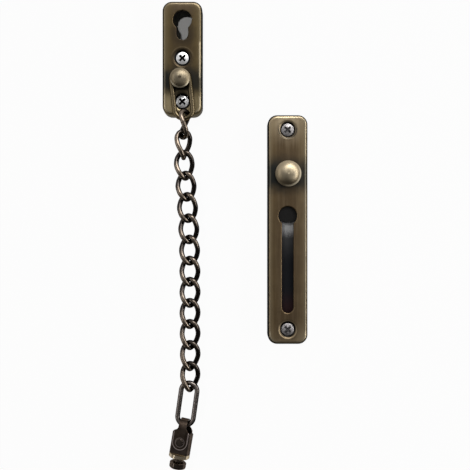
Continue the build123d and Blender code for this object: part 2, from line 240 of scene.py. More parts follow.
# %% Helpers for node groups
def new_group(name, inputs, masks):
    """Make a shader node group. inputs is a list of (name, socket type, default)
    and masks a list of names of values. Give the group, its inputs as they are
    seen inside, and the sockets that its masks are fed to."""
    group = bpy.data.node_groups.new(name, "ShaderNodeTree")
    for title, kind, value in inputs:
        socket = group.interface.new_socket(title, in_out="INPUT", socket_type=kind)
        if value is not None:
            socket.default_value = value
    for title in masks:
        group.interface.new_socket(title, in_out="OUTPUT", socket_type="NodeSocketFloat")
    given = group.nodes.new("NodeGroupInput").outputs
    result = group.nodes.new("NodeGroupOutput").inputs
    return group, given, result


def use_group(tree, group, place, **values):
    """Place a node group, link its Vector, set its other inputs, give its masks."""
    node = tree.nodes.new("ShaderNodeGroup")
    node.node_tree = group
    tree.links.new(place, node.inputs["Vector"])
    for title, value in values.items():
        node.inputs[title.replace("_", " ")].default_value = value
    return node.outputs


# %% [markdown]
# Brushed grain. The plates were drawn along a belt, so their scratches are
# fine vertical lines. A noise that is squeezed across and stretched along Z
# gives them. Two scales are put out: hair lines, and broader streaks.

# %% Group: brushed grain
def make_brushed_grain():
    """Each mask = noise(x, y, z x stretch), where a small stretch draws the
    grains out along Z: Grain is fine, and Streaks are broad."""
    group, given, result = new_group(
        "Brushed Grain",
        [("Vector", "NodeSocketVector", None), ("Fineness", "NodeSocketFloat", 1.0)],
        ["Grain", "Streaks"],
    )
    scaled = vector_node(group, "SCALE", given["Vector"], given["Fineness"])
    for title, stretch, scale, detail in (
        ("Grain", 0.02, 9000.0, 2.0),
        ("Streaks", 0.035, 900.0, 3.0),
    ):
        lines = noise(group, stretched(group, scaled, (1.0, 1.0, stretch)), scale, detail)
        group.links.new(lines, result[title])
    return group


brushed_grain = make_brushed_grain()
print("group:", brushed_grain.name)

# %% [markdown]
# Many finishes follow something round: the dish of a screw, the dome of a
# knob, the tongue round a pin, the collar of the bolt. One group measures
# where a point lies about an axis: how far along it, and how far from it.

# %% Group: place about an axis
def make_about_axis():
    """Along = (point - origin) . axis; Radial = length of what is left over."""
    group, given, result = new_group(
        "About Axis",
        [
            ("Vector", "NodeSocketVector", None),
            ("Origin", "NodeSocketVector", (0.0, 0.0, 0.0)),
            ("Axis", "NodeSocketVector", BACK),
        ],
        ["Along", "Radial"],
    )
    offset = vector_node(group, "SUBTRACT", given["Vector"], given["Origin"])
    along = vector_node(group, "DOT_PRODUCT", offset, given["Axis"], "Value")
    reach = vector_node(group, "SCALE", given["Axis"], along)
    left_over = vector_node(group, "SUBTRACT", offset, reach)
    group.links.new(along, result["Along"])
    group.links.new(vector_node(group, "LENGTH", left_over, output="Value"), result["Radial"])
    return group


about_axis = make_about_axis()
print("group:", about_axis.name)


def about(tree, place, origin, axis=BACK):
    """Place the axis group and give its outputs, Along and Radial."""
    return use_group(tree, about_axis, place, Origin=tuple(origin), Axis=tuple(axis))


def disc_mask(tree, place, origin, inner, outer):
    """A disc seen from the front: 1 within the inner radius, 0 past the outer."""
    return inverse(tree, smooth_step(tree, about(tree, place, origin)["Radial"], inner, outer))


# %% [markdown]
# A plate's patina and painted light follow its own outline. The cover's side
# walls and the insides of its holes are painted near black as shade, a pale
# painted highlight runs along the rolled edge, and the lacquer is dark again in a
# band round the stud or the knob. The group measures the distance to the outline
# and to the band, and puts out one mask for each, so that both plates share it.

# %% Group: plate patina and painted light
PLATE_MASKS = ("Wall", "Rim", "Edge", "Band", "Side", "Height")
CORNER_RADIUS = 5.3 * MM
ROLLED_BACK = (1.1 * MM, 1.9 * MM)
STEEP_EDGE = (0.55 * MM, 1.05 * MM)
HOLE_DEPTH = (0.35 * MM, 0.80 * MM)
HOLE_FIELD = (2.4 * MM, 3.0 * MM)
RIM_LINE = 1.45 * MM
RIM_WIDTH = 0.6 * MM
EDGE_FRINGE = (1.8 * MM, 3.8 * MM)
EDGE_WAVE = 0.8 * MM
BAND_WAVE = 6.0 * MM
BAND_FADE = (0.3, 1.3)


def make_plate_patina_and_light():
    """Inside = distance to the outline, a rectangle with round corners: corner
    radius - length of what passes the arcs' centres. Wall = 1 on the side walls,
    on the steep outer part of the roll and down inside the holes; Rim = a line
    at one distance inside the outline; Edge = a wider, ragged fringe there;
    Band = 1 near the band's height, with a ragged limit; Side and Height run
    from -1 to 1."""
    group, given, result = new_group(
        "Plate Patina and Light",
        [
            ("Vector", "NodeSocketVector", None),
            ("Centre", "NodeSocketVector", (0.0, 0.0, 0.0)),
            ("Half Size", "NodeSocketVector", (0.011, 0.005, 0.03)),
            ("Band Z", "NodeSocketFloat", 0.0),
            ("Band Width", "NodeSocketFloat", 0.01),
        ],
        PLATE_MASKS,
    )
    place = split(group, vector_node(group, "SUBTRACT", given["Vector"], given["Centre"]))
    half = split(group, given["Half Size"])
    past, squares = [], []
    for direction in (0, 2):
        distance = math_node(group, "ABSOLUTE", place[direction])
        start_of_arc = math_node(group, "SUBTRACT", half[direction], CORNER_RADIUS)
        past.append(math_node(group, "SUBTRACT", distance, start_of_arc))
        kept = math_node(group, "MAXIMUM", past[-1], 0.0)
        squares.append(times(group, kept, kept))
    arc = math_node(group, "SQRT", math_node(group, "ADD", *squares))
    flat = math_node(group, "MINIMUM", math_node(group, "MAXIMUM", *past), 0.0)
    inside = math_node(group, "SUBTRACT", CORNER_RADIUS, math_node(group, "ADD", arc, flat))
    wave = math_node(group, "SUBTRACT", noise(group, given["Vector"], 220.0, 3.0), 0.5)

    # Wall marks where the side walls and the holes get painted shade, and Rim the line of the
    # painted highlight.
    behind = math_node(group, "ADD", place[1], half[1])
    side_wall = smooth_step(group, behind, *ROLLED_BACK)
    steep = inverse(group, smooth_step(group, inside, *STEEP_EDGE))
    sunk = smooth_step(group, behind, *HOLE_DEPTH)
    hole = times(group, sunk, smooth_step(group, inside, *HOLE_FIELD))
    wall = math_node(group, "MAXIMUM", math_node(group, "MAXIMUM", side_wall, steep), hole)

    off_line = math_node(group, "ABSOLUTE", math_node(group, "SUBTRACT", inside, RIM_LINE))
    rim = inverse(group, smooth_step(group, off_line, 0.0, RIM_WIDTH))
    ragged = math_node(group, "ADD", inside, times(group, wave, EDGE_WAVE))
    edge = inverse(group, smooth_step(group, ragged, *EDGE_FRINGE))

    from_band = math_node(group, "SUBTRACT", place[2], given["Band Z"])
    off_band = math_node(group, "ABSOLUTE", from_band)
    swing = math_node(group, "ADD", off_band, times(group, wave, BAND_WAVE))
    share = math_node(group, "DIVIDE", swing, given["Band Width"])
    band = inverse(group, smooth_step(group, share, *BAND_FADE))

    side = math_node(group, "DIVIDE", place[0], half[0])
    height = math_node(group, "DIVIDE", place[2], half[2])
    for title, mask in zip(PLATE_MASKS, (wall, rim, edge, band, side, height)):
        group.links.new(mask, result[title])
    return group


plate_patina_and_light = make_plate_patina_and_light()
print("group:", plate_patina_and_light.name, "with masks", *PLATE_MASKS)

# %% [markdown]
# Tarnish is a soft, cloudy change of tone that all the plated pieces share,
# with a few small dark specks.

# %% Group: tarnish
def make_tarnish():
    """Each mask = where a noise rises over a limit: Clouds are broad and soft,
    Specks are small and rare."""
    group, given, result = new_group(
        "Tarnish",
        [("Vector", "NodeSocketVector", None), ("Size", "NodeSocketFloat", 1.0)],
        ["Clouds", "Specks"],
    )
    scaled = vector_node(group, "SCALE", given["Vector"], given["Size"])
    for title, scale, detail, limits in (
        ("Clouds", 140.0, 4.0, (0.32, 0.68)),
        ("Specks", 2400.0, 2.0, (0.64, 0.76)),
    ):
        mask = smooth_step(group, noise(group, scaled, scale, detail), *limits)
        group.links.new(mask, result[title])
    return group


tarnish = make_tarnish()
print("group:", tarnish.name)

# %% [markdown]
# A material starts with the Principled BSDF and the Object coordinates.
# The constants are set on the shader's own sockets, and only what changes
# over the surface is linked. Metal whose edges look dark at a grazing angle,
# as lacquered brass does, gets a darker specular tint.

# %% Start of a material
def new_material(name, metallic, roughness, tint=1.0):
    """Make a material; give its tree, its Principled BSDF and Object coordinates."""
    material = bpy.data.materials.new(name)
    material.use_nodes = True
    tree = material.node_tree
    shader = tree.nodes["Principled BSDF"]
    shader.inputs["Metallic"].default_value = metallic
    shader.inputs["Roughness"].default_value = roughness
    shader.inputs["Specular Tint"].default_value = (tint, tint, tint, 1.0)
    place = tree.nodes.new("ShaderNodeTexCoord").outputs["Object"]
    return material, tree, shader, place


def bump(tree, shader, height, distance, strength):
    """Feed a height through a Bump node into the shader's Normal."""
    node = tree.nodes.new("ShaderNodeBump")
    feed(tree, distance, node.inputs["Distance"])
    feed(tree, strength, node.inputs["Strength"])
    tree.links.new(height, node.inputs["Height"])
    tree.links.new(node.outputs["Normal"], shader.inputs["Normal"])


def dress(material, *names):
    """Put a finish into the material slots of CAD nodes."""
    for name in names:
        for slot in nodes[name].material_slots:
            slot.material = material
    print(material.name, "on", *names)


# %% [markdown]
# Antique brass on the plates. The real finish is brass plating, blackened,
# lacquered and then brushed upright, so the tone changes in long soft zones
# and in fine vertical lines. The layers are laid as a painter would. The first
# ones are the body of the plate: brown and gold, stained in clouds, paler at
# the top, at the foot and on the door plate's right side as painted sheen, and
# dark in the band.

# %% Antique brass: the body of a plate
TOP_FADE = (0.68, 0.99)
FLANK_FADE = (0.35, 0.75)
RIGHT_FADE = (0.2, 0.9)
LEFT_FADE = (1.4, -0.6)
BAND_SHARES = (0.80, 0.95)
SPOT_RADII = (3.5 * MM, 9.5 * MM)


def body_tones(tree, place, masks, streaks, right, look):
    """Body to a paler top by height and streaks, then the flanks, the right side,
    the stains, the foot, the band and the dark spot, each laid over the last.
    The paler top, right side and foot are painted sheen."""
    # Painted sheen: paler towards the top, broken by the streaks.
    top = smooth_step(tree, masks["Height"], *TOP_FADE)
    top = math_node(tree, "ADD", top, spread(tree, streaks, -0.25, 0.25), True)
    base = mix_colour(tree, top, look["body"], look["top"])
    flank = smooth_step(tree, math_node(tree, "ABSOLUTE", masks["Side"]), *FLANK_FADE)
    base = layer(tree, base, flank, 0.5, look["flank"])
    # Painted sheen: paler on the right side.
    base = layer(tree, base, right, look["right_share"], look["pale"])
    base = layer(tree, base, use_group(tree, tarnish, place)["Clouds"], 0.22, look["stain"])
    # Painted sheen at the foot, weighted to the right side.
    foot = smooth_step(tree, masks["Height"], *look["foot_range"])
    foot = times(tree, foot, spread(tree, right, 1.0, look["foot_right"]))
    base = layer(tree, base, foot, look["foot_share"], look["foot"])
    leftward = smooth_step(tree, masks["Side"], *LEFT_FADE)
    band = times(tree, masks["Band"], spread(tree, leftward, *BAND_SHARES))
    base = mix_colour(tree, band, base, look["dark"])
    if look["dark_spot"]:
        spot = disc_mask(tree, place, look["dark_spot"], *SPOT_RADII)
        base = layer(tree, base, spot, 0.55, look["stain"])
    return base


# %% [markdown]
# Each screw sits in a dish, painted black inside as shade. The plate turns down
# into it in a rounded mouth, painted pale above the screw as a highlight and
# dark below it as shade. Round the mouth the lacquer is stained. All of this is
# measured from the screw's own middle, so that it stays round and on its dish.

# %% Antique brass: the dish of a screw
DISH_RADIUS = 4.5 * MM
DISH_FADE = (0.97, 1.06)
HALO_RADIUS = 7.0 * MM
MOUTH_SOFT = 0.35 * MM
MOUTH_FADE = 3.0 * MM
# Near-black painted shade in each screw's dish.
DISH_SHADE = (0.008, 0.008, 0.008)


def screw_dish(tree, place, base, screw, look):
    """A stained halo, the mouth's ring in painted shade below and painted highlight
    above the middle, and painted shade in the dish. The full ring is pale all round."""
    centre = middle(screw)
    halo = disc_mask(tree, place, centre, DISH_RADIUS, HALO_RADIUS)
    base = layer(tree, base, halo, look["dish_shade_and_stain"] * 0.5, look["stain"])
    radial = about(tree, place, centre)["Radial"]
    # Painted highlight on the mouth above the screw's middle, and painted shade below it.
    mouth = band_mask(tree, radial, *look["mouth_ring"], MOUTH_SOFT)
    lowest = -2.0 * DISH_RADIUS if screw == look["full_ring"] else 0.0
    above = about(tree, place, centre, UP)["Along"]
    lit = smooth_step(tree, above, lowest, lowest + MOUTH_FADE)
    shaded = times(tree, mouth, spread(tree, lit, look["mouth_shade"], 0.0))
    base = mix_colour(tree, shaded, base, look["dark"])
    highlighted = times(tree, mouth, spread(tree, lit, 0.0, look["mouth_highlight"]))
    base = mix_colour(tree, highlighted, base, look["pale"])
    # Painted shade in the dish.
    dish = disc_mask(tree, place, centre, *(DISH_RADIUS * part for part in DISH_FADE))
    return layer(tree, base, dish, look["dish_shade_and_stain"], DISH_SHADE)


# %% [markdown]
# Along the rolled edge a pale line is painted as a highlight, strong only in
# places. Such a place is a window on the rim's height, on the left (-1) or the
# right side (1), with a strength of its own. Elsewhere a faint line is left. Past
# the edge the side walls are painted black as shade.

# %% Antique brass: the rolled edge
# Strength of the faint painted highlight that runs along the whole rim.
FAINT_RIM_HIGHLIGHT = 0.22
WINDOW_SOFT = 0.06
LOW_FADE = (-0.80, -0.95)
# Near-black painted shade for the side walls and the insides of the holes.
SIDE_WALL_SHADE = (0.008, 0.008, 0.007)


def rim_highlight(tree, masks, windows):
    """Painted highlight: the largest of the windows, each 1 between its low and high height."""
    painted_highlight = FAINT_RIM_HIGHLIGHT
    for side, low, high, strength in windows:
        there = smooth_step(tree, masks["Side"], 0.2 * side, 0.8 * side)
        window = band_mask(tree, masks["Height"], low, high, WINDOW_SOFT)
        painted_highlight = math_node(tree, "MAXIMUM", times(tree, there, times(tree, window, strength)), painted_highlight)
    return painted_highlight


def rolled_edge(tree, base, masks, right, look):
    """A pale fringe outside the band, painted shade on the right of the rim where the
    highlight is faint, the painted highlight line, and last the side walls' painted shade."""
    rub = times(tree, masks["Edge"], spread(tree, masks["Band"], 0.3, 0.0))
    base = mix_colour(tree, rub, base, look["pale"])
    # Painted highlight along the rim, strong in each window and faint elsewhere.
    painted_highlight = rim_highlight(tree, masks, look["windows"])
    # Painted shade on the right of the rim where the highlight is faint.
    rim_shade = times(tree, right, spread(tree, painted_highlight, look["rim_shade_share"], 0.0))
    base = mix_colour(tree, times(tree, masks["Rim"], rim_shade), base, look["dark"])
    base = mix_colour(tree, times(tree, masks["Rim"], painted_highlight), base, look["line"])
    # Painted shade: the side walls and the insides of the holes are laid near black, less so at
    # the foot.
    low = smooth_step(tree, masks["Height"], *LOW_FADE)
    wall = times(tree, masks["Wall"], spread(tree, low, 1.0, look["foot_wall"]))
    return mix_colour(tree, wall, base, SIDE_WALL_SHADE)


# %% [markdown]
# The two plates are the same finish with different wear and painted light, so
# each has a look: its tones, how thickly they are laid, and where the rim's
# painted highlight falls. The frame plate is the darker one, and the door plate
# is nearly gold at its top.

# %% Antique brass on the plates
# In each look, the top and foot tones and the right side's pale are painted sheen; line and
# windows make the rim's painted highlight; the dish, mouth and rim shares set painted shade and
# highlight.
FRAME_LOOK = {
    "body": (0.085, 0.060, 0.030),
    "top": (0.140, 0.100, 0.060),
    "flank": (0.165, 0.120, 0.052),
    "stain": (0.032, 0.025, 0.019),
    "dark": (0.020, 0.022, 0.020),
    "pale": (0.220, 0.175, 0.100),
    "line": (0.520, 0.440, 0.300),
    "foot": (0.420, 0.340, 0.190),
    "foot_share": 0.8,
    "foot_range": (-0.50, -0.78),
    "foot_right": 0.5,
    "foot_wall": 0.55,
    "right_share": 0.0,
    "band": (STUD_CENTRE[2] - 0.5 * MM, 8.0 * MM),
    "dark_spot": (FRAME_CENTRE[0], PLATE_FRONT, FRAME_CENTRE[2] + 14.0 * MM),
    "screws": ("frame_screw_upper", "frame_screw_lower"),
    "full_ring": "",
    "dish_shade_and_stain": 0.95,
    "mouth_ring": (6.1 * MM, 6.3 * MM),
    "mouth_highlight": 0.3,
    "mouth_shade": 0.1,
    "rim_shade_share": 0.3,
    "windows": (
        (1, -0.32, 0.26, 1.0),
        (1, -0.95, -0.70, 0.95),
        (-1, -0.95, -0.65, 0.7),
    ),
}
DOOR_LOOK = {
    "body": (0.140, 0.096, 0.052),
    "top": (0.560, 0.450, 0.290),
    "flank": (0.180, 0.125, 0.058),
    "stain": (0.070, 0.048, 0.030),
    "dark": (0.026, 0.030, 0.029),
    "pale": (0.360, 0.280, 0.170),
    "line": (0.500, 0.430, 0.300),
    "foot": (0.380, 0.300, 0.190),
    "foot_share": 0.2,
    "foot_range": (-0.78, -0.96),
    "foot_right": 4.0,
    "foot_wall": 1.0,
    "right_share": 0.25,
    "band": (KNOB_CENTRE[2] - 0.5 * MM, 10.5 * MM),
    "dark_spot": None,
    "screws": ("door_screw_upper", "door_screw_lower"),
    "full_ring": "door_screw_lower",
    "dish_shade_and_stain": 0.75,
    "mouth_ring": (4.9 * MM, 5.1 * MM),
    "mouth_highlight": 0.9,
    "mouth_shade": 0.85,
    "rim_shade_share": 1.2,
    "windows": (
        (1, 0.66, 0.90, 0.4),
        (1, -0.20, -0.02, 0.25),
        (1, -1.0, -0.92, 1.0),
        (-1, -1.0, -0.92, 1.0),
    ),
}


def antique_brass(name, node, look):
    """Colour = the body's tones, then each screw's dish, then the rolled edge;
    roughness = 0.28 to 0.46 by the streaks; bump = the fine grain."""
    material, tree, shader, place = new_material(name, 0.92, 0.36, tint=0.35)
    masks = use_group(
        tree,
        plate_patina_and_light,
        place,
        Centre=tuple(middle(node)),
        Half_Size=tuple(span(node) / 2),
        Band_Z=look["band"][0] - middle(node)[2],
        Band_Width=look["band"][1],
    )
    grain = use_group(tree, brushed_grain, place)
    right = smooth_step(tree, masks["Side"], *RIGHT_FADE)
    base = body_tones(tree, place, masks, grain["Streaks"], right, look)
    for screw in look["screws"]:
        base = screw_dish(tree, place, base, screw, look)
    base = rolled_edge(tree, base, masks, right, look)
    tree.links.new(base, shader.inputs["Base Color"])
    tree.links.new(spread(tree, grain["Streaks"], 0.28, 0.46), shader.inputs["Roughness"])
    bump(tree, shader, grain["Grain"], 0.02 * MM, 0.5)
    return material


dress(antique_brass("Antique brass, frame plate", "frame_plate", FRAME_LOOK), "frame_plate")
dress(antique_brass("Antique brass, door plate", "door_plate", DOOR_LOOK), "door_plate")

# %% [markdown]
# The stud and the knob are turned on a lathe and then polished by hands: a
# satin sheen that is stretched round the axis, with painted highlights on the
# upper half and on one side of the rim, and dark lacquer left on the stem behind.
# An anisotropic shader gives such a sheen when its tangent runs round the axis.

# %% Satin brass buttons
DOME_BRASS = (1.0, 0.84, 0.58)
RIM_BRASS = (1.0, 0.78, 0.48)
# Tones of the painted highlights on one side of the rim and on the upper half.
HIGHLIGHT_BRASS = (0.72, 0.63, 0.46)
TOP_HIGHLIGHT_BRASS = (0.70, 0.58, 0.40)
PIP_DIRT = (0.05, 0.038, 0.024)
STEM_LACQUER = (0.02, 0.018, 0.015)
BUTTON_DEPTH = 3.4 * MM


def satin_brass(name, node, shade, pip_dirt, highlight_side, top_highlight):
    """Colour = pale dome to brown rim by the distance from the middle, with
    clouds and streaks; then a painted highlight on one side of the rim and on the
    upper half, a dirty pip and the dark stem. Tangent = (point - centre) x axis."""
    material, tree, shader, place = new_material(name, 1.0, 0.42, tint=0.4)
    centre, radius = middle(node), span(node)[0] / 2
    cloud = use_group(tree, tarnish, place, Size=0.7)
    grain = use_group(tree, brushed_grain, place, Fineness=0.8)
    pale = tuple(0.34 * shade * part for part in DOME_BRASS)
    brown = tuple(0.17 * shade * part for part in RIM_BRASS)
    dome = disc_mask(tree, place, centre, radius * 0.35, radius)
    base = mix_colour(tree, dome, brown, pale)
    base = layer(tree, base, cloud["Clouds"], 0.35, brown)
    base = layer(tree, base, grain["Streaks"], 0.25, brown)
    # Painted highlight on one side of the rim.
    radial = about(tree, place, centre)["Radial"]
    rim = band_mask(tree, radial, radius * 0.90, radius * 0.97, radius * 0.07)
    sideways = about(tree, place, centre, highlight_side)["Along"]
    highlighted = smooth_step(tree, sideways, radius * 0.1, radius * 0.8)
    painted_highlight = times(tree, rim, spread(tree, highlighted, 0.1, 0.9))
    base = mix_colour(tree, painted_highlight, base, HIGHLIGHT_BRASS)
    # Painted highlight on the upper half.
    rise = about(tree, place, centre, UP)["Along"]
    upper = smooth_step(tree, rise, -radius * 0.1, radius * 0.9)
    base = layer(tree, base, upper, top_highlight, TOP_HIGHLIGHT_BRASS)
    pip = disc_mask(tree, place, centre, radius * 0.12, radius * 0.18)
    base = layer(tree, base, pip, pip_dirt, PIP_DIRT)
    depth = about(tree, place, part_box(node)[0])["Along"]
    behind = smooth_step(tree, depth, BUTTON_DEPTH, BUTTON_DEPTH + 0.6 * MM)
    base = mix_colour(tree, behind, base, STEM_LACQUER)
    tree.links.new(base, shader.inputs["Base Color"])
    tree.links.new(spread(tree, grain["Streaks"], 0.38, 0.48), shader.inputs["Roughness"])
    bump(tree, shader, grain["Grain"], 0.02 * MM, 0.4)
    outward = vector_node(tree, "SUBTRACT", place, tuple(centre))
    around = vector_node(tree, "CROSS_PRODUCT", outward, BACK)
    tree.links.new(around, shader.inputs["Tangent"])
    shader.inputs["Anisotropic"].default_value = 0.6
    return material


for title, button, shade, pip_dirt, highlight_side, top_highlight in (
    ("Satin brass stud", "chain_stud", 0.78, 0.7, (0.0, 0.0, -1.0), 0.15),
    ("Satin brass knob", "release_knob", 1.15, 0.0, (0.8, 0.0, -0.6), 0.4),
):
    dress(satin_brass(title, button, shade, pip_dirt, highlight_side, top_highlight), button)

# %% [markdown]
# The chain is steel wire with a dark bronze plating, glossy and nearly black.
# Its front strands are lightened to a pinkish brass as a painted highlight. The
# mask is how far the wire stands in front of a plane, broken by clouds: for the
# links the chain's own middle plane, and for the end link, which hangs at a slant,
# the plane that it lies in.

# %% Dark bronze wire
CHAIN_MIDDLE = (0.0, middle("chain_link_08")[1], 0.0)


def dark_wire(name, shade, highlighted, origin, forward, reach, share):
    """Colour = dark plating, lifted to a pinkish brass painted highlight by clouds
    and by how far the wire reaches in front of a plane."""
    material, tree, shader, place = new_material(name, 1.0, 0.2, tint=0.15)
    clouds = use_group(tree, tarnish, place, Size=0.6)["Clouds"]
    # Painted highlight on the strands in front of the plane, broken by clouds.
    ahead = smooth_step(tree, about(tree, place, origin, forward)["Along"], *reach)
    painted_highlight = times(tree, ahead, spread(tree, clouds, 0.7, 1.0))
    tree.links.new(layer(tree, shade, painted_highlight, share, highlighted), shader.inputs["Base Color"])
    tree.links.new(spread(tree, clouds, 0.20, 0.26), shader.inputs["Roughness"])
    return material


def plane_normal(node):
    """Direction in which a node's points spread least, turned to the front."""
    vertices = bpy.data.objects[node].data.vertices
    points = np.empty(len(vertices) * 3)
    vertices.foreach_get("co", points)
    points = points.reshape(-1, 3)
    normal = np.linalg.svd(points - points.mean(axis=0), full_matrices=False)[2][-1]
    return tuple((normal if normal[1] < 0 else -normal).tolist())


chain_wire = dark_wire(
    "Dark bronze wire",
    (0.042, 0.036, 0.032),
    (0.230, 0.185, 0.142),
    CHAIN_MIDDLE,
    FORWARD,
    (1.0 * MM, 3.4 * MM),
    0.9,
)
end_wire = dark_wire(
    "Dark bronze end link",
    (0.015, 0.013, 0.012),
    (0.320, 0.280, 0.250),
    middle("end_link"),
    plane_normal("end_link"),
    (0.7 * MM, 1.3 * MM),
    0.75,
)
loop_wire = dark_wire(
    "Antique brass loop",
    (0.045, 0.034, 0.019),
    (0.190, 0.150, 0.088),
    CHAIN_MIDDLE,
    FORWARD,
    (-2.2 * MM, 0.2 * MM),
    0.7,
)
dress(chain_wire, *CHAIN_NODES)
dress(end_wire, "end_link")
dress(loop_wire, "anchor_loop")

# %% [markdown]
# The end bolt, its strap and its pin are a dark chocolate bronze. The collar
# rubs in the slot and shows brass, and the strap's tongue has a painted highlight
# along its rim. Both marks follow the bolt's own leaning axis, which the joints
# give: it runs from the strap's hinge to the bolt's pin.

# %% Axis of the bolt
JOINTS = {joint["name"]: joint for joint in frame["joints"]}
WIRE_PLACE = np.array(JOINTS["strap_swing"]["pos_m"], float)
PIN_PLACE = np.array(JOINTS["bolt_swing"]["pos_m"], float)
PIN_AXIS = np.array(JOINTS["bolt_swing"]["axis"], float)
BOLT_DOWN = (PIN_PLACE - WIRE_PLACE) / np.linalg.norm(PIN_PLACE - WIRE_PLACE)
BOLT_ACROSS = np.cross(PIN_AXIS, BOLT_DOWN)
print("bolt axis", np.round(BOLT_DOWN, 3).tolist())

# %% [markdown]
# The bolt and the pin's head share one bronze. The collar lies on one stretch
# of the axis, so a band along it turns that stretch to brass.

# %% Dark bronze bolt and pin
CHOCOLATE = (0.052, 0.040, 0.033)
LIGHT_CHOCOLATE = (0.120, 0.094, 0.076)
COLLAR_BRASS = (0.66, 0.55, 0.38)
SPECK_BROWN = (0.012, 0.010, 0.008)
COLLAR = (15.9 * MM, 18.4 * MM)
COLLAR_SOFT = 0.3 * MM


def dark_bronze(name):
    """Colour = chocolate with clouds, brass on the collar's stretch of the axis,
    and dark specks over all."""
    material, tree, shader, place = new_material(name, 1.0, 0.3, tint=0.4)
    cloud = use_group(tree, tarnish, place, Size=1.6)
    base = layer(tree, CHOCOLATE, cloud["Clouds"], 0.6, LIGHT_CHOCOLATE)
    along = about(tree, place, WIRE_PLACE, BOLT_DOWN)["Along"]
    collar = band_mask(tree, along, *COLLAR, COLLAR_SOFT)
    brassy = times(tree, collar, spread(tree, cloud["Clouds"], 0.9, 0.5))
    base = mix_colour(tree, brassy, base, COLLAR_BRASS)
    base = layer(tree, base, cloud["Specks"], 0.5, SPECK_BROWN)
    tree.links.new(base, shader.inputs["Base Color"])
    tree.links.new(spread(tree, cloud["Clouds"], 0.14, 0.24), shader.inputs["Roughness"])
    bump(tree, shader, noise(tree, place, 900.0, 3.0), 0.03 * MM, 0.3)
    return material


dress(dark_bronze("Dark bronze bolt"), "end_bolt", "strap_pin")

# %% [markdown]
# The strap is a brown strip folded over the wire. Its tongue ends in a half
# circle round the pin, and a pale painted highlight runs along its rim. The rim
# is found by the distance from the pin, which stops growing upwards so that the
# line runs straight up the strip's two sides.

# %% Brown bronze strap
BROWN_DARK = (0.044, 0.031, 0.023)
BROWN_LIGHT = (0.084, 0.062, 0.047)
# Tones of the painted highlights on the tongue's rim and round the pin.
RIM_PINK = (0.62, 0.52, 0.48)
RING_PINK = (0.40, 0.33, 0.30)
TONGUE_RIM = (3.9 * MM, 4.4 * MM)
PIN_RING = (2.3 * MM, 2.6 * MM)
LINE_SOFT = 0.2 * MM


def strap_bronze(name):
    """Colour = brown steel, with painted highlights: a pale line along the tongue's
    rim and a ring round the pin. Tongue reach = length(sideways, downwards but
    never upwards)."""
    material, tree, shader, place = new_material(name, 1.0, 0.34, tint=0.4)
    cloud = use_group(tree, tarnish, place, Size=2.0)
    base = mix_colour(tree, cloud["Clouds"], BROWN_DARK, BROWN_LIGHT)
    # Painted highlight along the tongue's rim.
    sideways = about(tree, place, PIN_PLACE, BOLT_ACROSS)["Along"]
    below = about(tree, place, PIN_PLACE, BOLT_DOWN)["Along"]
    below = math_node(tree, "MAXIMUM", below, 0.0)
    squares = [times(tree, part, part) for part in (sideways, below)]
    reach = math_node(tree, "SQRT", math_node(tree, "ADD", *squares))
    line = band_mask(tree, reach, *TONGUE_RIM, LINE_SOFT)
    base = layer(tree, base, line, 0.85, RIM_PINK)
    # Painted highlight in a ring round the pin.
    radial = about(tree, place, PIN_PLACE, PIN_AXIS)["Radial"]
    ring = band_mask(tree, radial, *PIN_RING, LINE_SOFT)
    base = layer(tree, base, ring, 0.6, RING_PINK)
    tree.links.new(base, shader.inputs["Base Color"])
    tree.links.new(spread(tree, cloud["Specks"], 0.28, 0.5), shader.inputs["Roughness"])
    bump(tree, shader, noise(tree, place, 1100.0, 3.0), 0.03 * MM, 0.4)
    return material


dress(strap_bronze("Brown bronze strap"), "end_strap")

# %% [markdown]
# New pieces are surfaces on a grid: rows of points, each row a closed ring or
# an open strip. One helper joins the grid's points into quads and closes the
# seam. The finished object stays at the origin, with its place in its mesh, so
# that it rides on its body exactly as the solids do.

# %% Helpers for grid surfaces
MERGE = 1e-7
SHARP_ANGLE = 35.0


def grid_faces(rows, columns, closed):
    """Quads between each point, its right neighbour and the row below both."""
    row, column = np.meshgrid(
        np.arange(rows - 1), np.arange(columns if closed else columns - 1), indexing="ij"
    )
    right = (column + 1) % columns
    corners = (row, column), (row, right), (row + 1, right), (row + 1, column)
    quads = np.stack([a * columns + b for a, b in corners], axis=-1)
    return quads.reshape(-1, 4).tolist()


def make_piece(name, points, faces, material, body, node):
    """Make a mesh piece that stands for one CAD node and, where a body is given,
    rides on it."""
    mesh = bpy.data.meshes.new(name)
    mesh.from_pydata(np.asarray(points, float).reshape(-1, 3).tolist(), [], faces)
    mesh.materials.append(material)
    piece = bpy.data.objects.new(name, mesh)
    bpy.context.scene.collection.objects.link(piece)
    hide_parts(node)
    if body:
        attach(piece, body)
    return piece


def tidy_mesh(piece):
    """Merge doubles, turn the faces outwards, and smooth all but sharp edges."""
    shape = bmesh.new()
    shape.from_mesh(piece.data)
    bmesh.ops.remove_doubles(shape, verts=shape.verts, dist=MERGE)
    bmesh.ops.dissolve_degenerate(shape, edges=shape.edges, dist=MERGE)
    bmesh.ops.recalc_face_normals(shape, faces=shape.faces)
    shape.to_mesh(piece.data)
    shape.free()
    piece.data.shade_smooth()
    piece.data.set_sharp_from_angle(angle=radians(SHARP_ANGLE))


# %% [markdown]
# Screws: the frame's pair is bright zinc, the door's pair a duller grey with
# a grainy plating. Dirt and painted shade sit in their cross recesses, black in
# the bright pair and grey in the dull one. It is the same kind of finish with
# darker tones.

